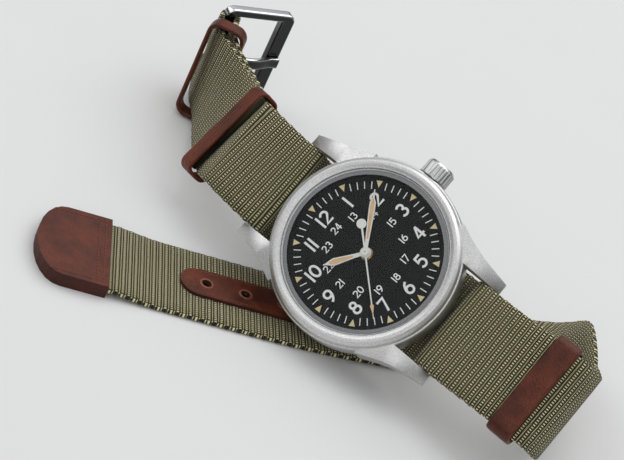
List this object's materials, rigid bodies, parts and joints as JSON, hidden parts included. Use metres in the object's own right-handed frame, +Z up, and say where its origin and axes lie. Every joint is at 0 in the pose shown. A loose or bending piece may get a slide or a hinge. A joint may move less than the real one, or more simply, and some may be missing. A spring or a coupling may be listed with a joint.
{
  "type": "wristwatch",
  "caption": "Hand-wound field wristwatch with a round steel case, black dial, pull-out crown, working movement, and an open fabric strap with leather keepers and a buckle.",
  "frame": {"origin": "middle of the bounding box in plan, on the table the watch is laid on", "axes": "+X along the case from 12 to 6 o'clock, +Y away from the 9 o'clock side in plan, +Z up; the case leans back so that its dial faces -Y and up"},
  "size_m": [0.1144, 0.0893, 0.037],
  "materials": {
    "blasted_steel": "bead blasted matte",
    "polished_steel": "polished",
    "sapphire": "clear, polished",
    "dial_black": "matte",
    "hand_white": "satin",
    "webbing": "woven, ribbed across",
    "leather": "waxed, slightly glossy",
    "gasket": "matte",
    "ruby": "polished",
    "plated_brass": "plated, fine grained",
    "train_brass": "gilt",
    "movement_steel": "polished steel"
  },
  "bodies": {
    "case_and_strap": {"case_middle": "blasted_steel", "bezel": "blasted_steel", "crystal": "sapphire", "crystal_gasket": "gasket", "flange_ring": "polished_steel", "dial": "dial_black", "case_back": "blasted_steel", "case_back_gasket": "gasket", "movement_ring": "plated_brass", "crown_tube": "movement_steel", "main_plate": "plated_brass", "barrel_bridge": "plated_brass", "train_bridge": "plated_brass", "balance_cock": "plated_brass", "bridge_screws": "movement_steel", "pallet_bridge": "plated_brass", "jewels": "ruby", "spring_bar_tubes": "movement_steel", "spring_bar_springs": "movement_steel", "strap_webbing": "webbing", "strap_flap": "webbing", "keeper_buckle_side": "leather", "keeper_at_buckle": "leather", "keeper_flap_end": "leather", "strap_tip": "leather", "hole_strip": "leather"},
    "minute_train": {"centre_wheel": "train_brass", "cannon_pinion": "movement_steel", "minute_hand": "hand_white"},
    "hour_train": {"hour_wheel": "train_brass", "hour_hand": "hand_white"},
    "seconds_train": {"fourth_wheel": "train_brass", "seconds_hand": "hand_white"},
    "third_train": {"third_wheel": "train_brass"},
    "escape_train": {"escape_wheel": "movement_steel"},
    "barrel": {"barrel_drum": "train_brass", "barrel_lid": "train_brass", "mainspring": "movement_steel"},
    "minute_wheel_body": {"minute_wheel": "train_brass"},
    "setting_wheel_body": {"setting_wheel": "movement_steel"},
    "balance": {"balance_wheel": "train_brass", "hairspring": "movement_steel"},
    "pallet": {"pallet_fork": "movement_steel"},
    "winding": {"winding_pinion": "movement_steel"},
    "crown_and_stem": {"crown": "blasted_steel", "winding_stem": "movement_steel"},
    "clutch": {"sliding_pinion": "movement_steel"},
    "crown_wheel_body": {"crown_wheel": "movement_steel"},
    "ratchet": {"ratchet_wheel": "movement_steel", "barrel_arbor": "movement_steel"},
    "click_body": {"click": "movement_steel"},
    "setting_lever_body": {"setting_lever": "movement_steel"},
    "buckle": {"buckle_frame": "polished_steel", "buckle_bar": "polished_steel"},
    "tongue": {"buckle_tongue": "polished_steel"},
    "pin_twelve_three": {"spring_bar_pin_twelve_three_side": "movement_steel"},
    "pin_twelve_nine": {"spring_bar_pin_twelve_nine_side": "movement_steel"},
    "pin_six_three": {"spring_bar_pin_six_three_side": "movement_steel"},
    "pin_six_nine": {"spring_bar_pin_six_nine_side": "movement_steel"}
  },
  "joints": [
    {"name": "minute_hand_turn", "type": "hinge", "parent": "case_and_strap", "child": "minute_train", "pos_m": [0.00839, -0.00157, 0.01955], "axis": [0, 0.7727, -0.6347], "continuous": true},
    {"name": "hour_hand_turn", "type": "hinge", "parent": "case_and_strap", "child": "hour_train", "pos_m": [0.00839, -0.00157, 0.01955], "axis": [0, 0.7727, -0.6347], "continuous": true},
    {"name": "seconds_hand_turn", "type": "hinge", "parent": "case_and_strap", "child": "seconds_train", "pos_m": [0.00839, -0.00157, 0.01955], "axis": [0, 0.7727, -0.6347], "continuous": true},
    {"name": "third_wheel_turn", "type": "hinge", "parent": "case_and_strap", "child": "third_train", "pos_m": [0.01029, -0.00416, 0.0164], "axis": [0, 0.7727, -0.6347], "continuous": true},
    {"name": "escape_wheel_turn", "type": "hinge", "parent": "case_and_strap", "child": "escape_train", "pos_m": [0.01285, -0.00081, 0.02047], "axis": [0, 0.7727, -0.6347], "continuous": true},
    {"name": "barrel_turn", "type": "hinge", "parent": "case_and_strap", "child": "barrel", "pos_m": [0.00271, -0.0006, 0.02073], "axis": [0, 0.7727, -0.6347], "continuous": true},
    {"name": "minute_wheel_turn", "type": "hinge", "parent": "case_and_strap", "child": "minute_wheel_body", "pos_m": [0.00839, 0.00026, 0.02178], "axis": [0, 0.7727, -0.6347], "continuous": true},
    {"name": "setting_wheel_turn", "type": "hinge", "parent": "case_and_strap", "child": "setting_wheel_body", "pos_m": [0.00839, 0.00219, 0.02412], "axis": [0, 0.7727, -0.6347], "continuous": true},
    {"name": "balance_swing", "type": "hinge", "parent": "case_and_strap", "child": "balance", "pos_m": [0.01426, 0.00215, 0.02409], "axis": [0, -0.7727, 0.6347], "range_deg": [-220, 220], "stiffness_Nm_per_rad": 0.00000025},
    {"name": "pallet_swing", "type": "hinge", "parent": "case_and_strap", "child": "pallet", "pos_m": [0.01365, 0.00086, 0.02251], "axis": [0, -0.7727, 0.6347], "range_deg": [-6, 6]},
    {"name": "crown_turn", "type": "hinge", "parent": "case_and_strap", "child": "winding", "pos_m": [0.00839, 0.00619, 0.02521], "axis": [0, 0.6347, 0.7727], "continuous": true},
    {"name": "crown_pull", "type": "slide", "parent": "winding", "child": "crown_and_stem", "axis": [0, 0.6347, 0.7727], "range_m": [0, 0.0009]},
    {"name": "clutch_shift", "type": "slide", "parent": "winding", "child": "clutch", "axis": [0, 0.6347, 0.7727], "range_m": [-0.0003, 0]},
    {"name": "setting_lever_swing", "type": "hinge", "parent": "case_and_strap", "child": "setting_lever_body", "pos_m": [0.00489, 0.00452, 0.02697], "axis": [0, -0.7727, 0.6347], "range_deg": [0, 14.7]},
    {"name": "crown_wheel_turn", "type": "hinge", "parent": "case_and_strap", "child": "crown_wheel_body", "pos_m": [0.00839, 0.0037, 0.02596], "axis": [0, -0.7727, 0.6347], "continuous": true},
    {"name": "ratchet_turn", "type": "hinge", "parent": "case_and_strap", "child": "ratchet", "pos_m": [0.00271, -0.0006, 0.02073], "axis": [0, -0.7727, 0.6347], "continuous": true},
    {"name": "click_swing", "type": "hinge", "parent": "case_and_strap", "child": "click_body", "pos_m": [-0.00303, -0.00285, 0.01799], "axis": [0, -0.7727, 0.6347], "range_deg": [0, 14], "stiffness_Nm_per_rad": 0.00002},
    {"name": "buckle_swing", "type": "hinge", "parent": "case_and_strap", "child": "buckle", "pos_m": [-0.05491, 0.03133, 0.0119], "axis": [0, 0, 1], "range_deg": [-15, 15]},
    {"name": "tongue_swing", "type": "hinge", "parent": "buckle", "child": "tongue", "pos_m": [-0.05491, 0.03133, 0.0119], "axis": [0, 0, 1], "range_deg": [-26, 0]},
    {"name": "pin_twelve_three_press", "type": "slide", "parent": "case_and_strap", "child": "pin_twelve_three", "axis": [0, -0.6347, -0.7727], "range_m": [0, 0.00105], "stiffness_N_per_m": 150, "deforming": ["spring_bar_springs"]},
    {"name": "pin_twelve_nine_press", "type": "slide", "parent": "case_and_strap", "child": "pin_twelve_nine", "axis": [0, 0.6347, 0.7727], "range_m": [0, 0.00105], "stiffness_N_per_m": 150, "deforming": ["spring_bar_springs"]},
    {"name": "pin_six_three_press", "type": "slide", "parent": "case_and_strap", "child": "pin_six_three", "axis": [0, -0.6347, -0.7727], "range_m": [0, 0.00105], "stiffness_N_per_m": 150, "deforming": ["spring_bar_springs"]},
    {"name": "pin_six_nine_press", "type": "slide", "parent": "case_and_strap", "child": "pin_six_nine", "axis": [0, 0.6347, 0.7727], "range_m": [0, 0.00105], "stiffness_N_per_m": 150, "deforming": ["spring_bar_springs"]}
  ],
  "couplings": [
    {"joint": "minute_hand_turn", "follows": "third_wheel_turn", "ratio": -0.125},
    {"joint": "hour_hand_turn", "follows": "third_wheel_turn", "ratio": -0.010417},
    {"joint": "seconds_hand_turn", "follows": "third_wheel_turn", "ratio": -7.5},
    {"joint": "escape_wheel_turn", "follows": "third_wheel_turn", "ratio": 75},
    {"joint": "barrel_turn", "follows": "third_wheel_turn", "ratio": 0.020833},
    {"joint": "minute_wheel_turn", "follows": "third_wheel_turn", "ratio": 0.041667},
    {"joint": "setting_wheel_turn", "follows": "third_wheel_turn", "ratio": -0.10714},
    {"joint": "crown_wheel_turn", "follows": "crown_turn", "ratio": 0.53333},
    {"joint": "ratchet_turn", "follows": "crown_turn", "ratio": -0.33333},
    {"joint": "clutch_shift", "follows": "crown_pull", "ratio": -0.33333},
    {"joint": "setting_lever_swing", "follows": "crown_pull", "rad_per_m": 285.07}
  ]
}
